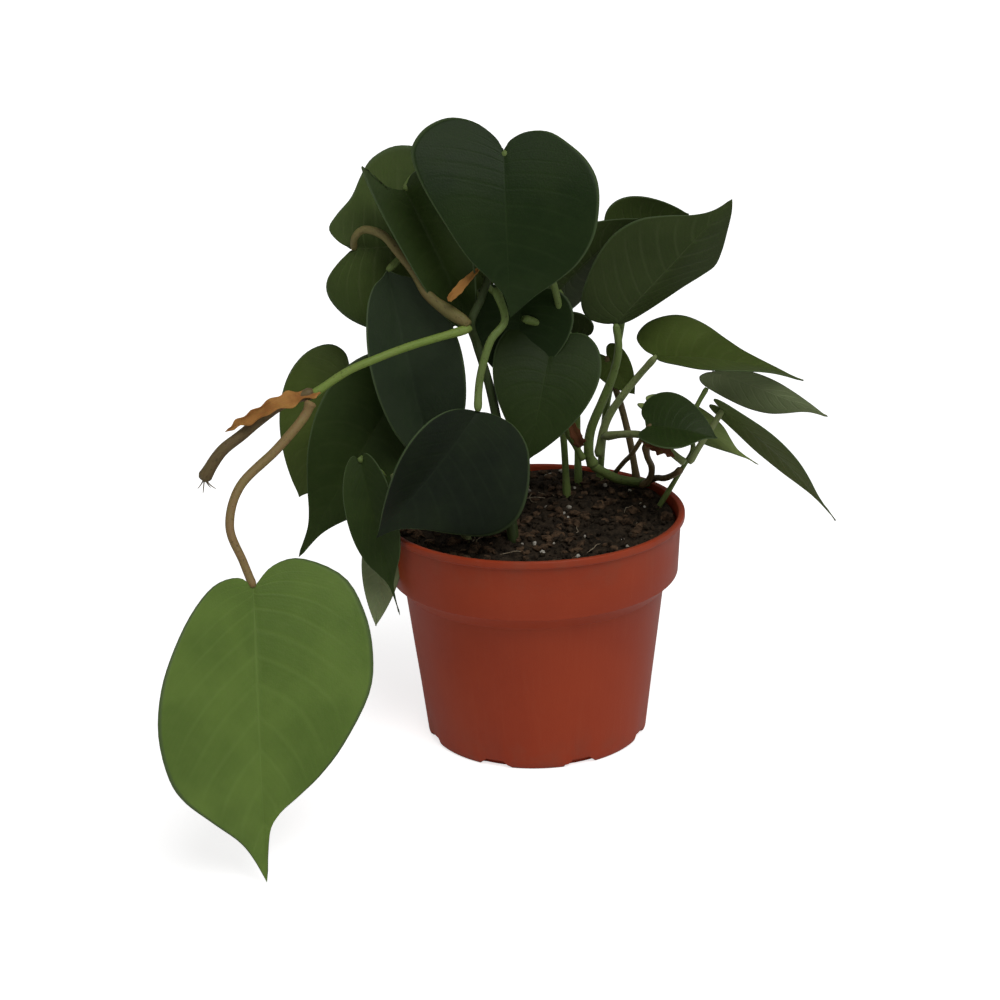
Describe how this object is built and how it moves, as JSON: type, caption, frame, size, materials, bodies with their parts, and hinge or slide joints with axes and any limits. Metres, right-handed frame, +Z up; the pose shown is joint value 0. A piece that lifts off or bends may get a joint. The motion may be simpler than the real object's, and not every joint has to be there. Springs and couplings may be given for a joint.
{
  "type": "potted philodendron",
  "caption": "Heart-leaf philodendron in a round tapered nursery pot: leaf blades, leaf stalks, trailing stems, dry sheaths and soil.",
  "frame": {"origin": "middle of the pot's flat base, on the surface it stands on", "axes": "+Z up, +X to the plant's right, -Y to its front, where the trailing leaf reaches the surface"},
  "size_m": [0.2453, 0.2078, 0.2474],
  "materials": {
    "terracotta_plastic": "satin moulded brick-coloured plastic",
    "potting_soil": "moist crumbly peat and bark",
    "dark_leaf": "waxy dark green leaf",
    "grey_green_leaf": "waxy grey-green leaf",
    "young_leaf": "waxy light green leaf",
    "pale_underside": "matt pale leaf underside",
    "green_stem": "smooth green stem",
    "old_stem": "brown-green old stem",
    "dry_sheath": "dry papery sheath"
  },
  "bodies": {
    "root": {"pot": "terracotta_plastic", "soil": "potting_soil", "leaf_crown_front": "dark_leaf", "leaf_crown_folded": "dark_leaf", "leaf_high_left": "pale_underside", "leaf_crown_behind": "dark_leaf", "leaf_grey_left": "grey_green_leaf", "leaf_left_outer": "young_leaf", "leaf_left_inner": "dark_leaf", "leaf_low_left": "dark_leaf", "leaf_low_pale": "pale_underside", "leaf_trailing": "young_leaf", "leaf_front": "grey_green_leaf", "leaf_middle": "grey_green_leaf", "leaf_middle_small": "grey_green_leaf", "leaf_tall_right": "grey_green_leaf", "leaf_back_right": "dark_leaf", "leaf_right_upper": "young_leaf", "leaf_right_under": "pale_underside", "leaf_right_low": "pale_underside", "leaf_small_dark": "dark_leaf", "leaf_young": "young_leaf", "leaf_back_dark": "dark_leaf", "leaf_back_grey": "pale_underside", "stem_crown": "green_stem", "stem_runner": "green_stem", "stem_cut_end": "old_stem", "stem_right_root": "green_stem", "stem_right_side": "green_stem", "stem_right_grey": "old_stem", "stem_right_olive": "old_stem", "stem_left": "green_stem", "stalk_crown_front": "green_stem", "stalk_crown_folded": "green_stem", "stalk_high_left": "old_stem", "stalk_crown_behind": "green_stem", "stalk_grey_left": "green_stem", "stalk_left_outer": "green_stem", "stalk_left_inner": "green_stem", "stalk_low_left": "green_stem", "stalk_low_pale": "old_stem", "stalk_trailing": "old_stem", "stalk_front": "green_stem", "stalk_middle": "green_stem", "stalk_middle_small": "green_stem", "stalk_tall_right": "green_stem", "stalk_back_right": "green_stem", "stalk_right_upper": "green_stem", "stalk_right_under": "green_stem", "stalk_right_low": "green_stem", "stalk_small_dark": "old_stem", "stalk_young": "green_stem", "stalk_back_dark": "green_stem", "stalk_back_grey": "old_stem", "sheath_left_node": "dry_sheath", "sheath_crown": "dry_sheath", "sheath_middle": "dry_sheath", "sheath_right_node": "dry_sheath", "sheath_left_low": "dry_sheath"}
  },
  "joints": []
}
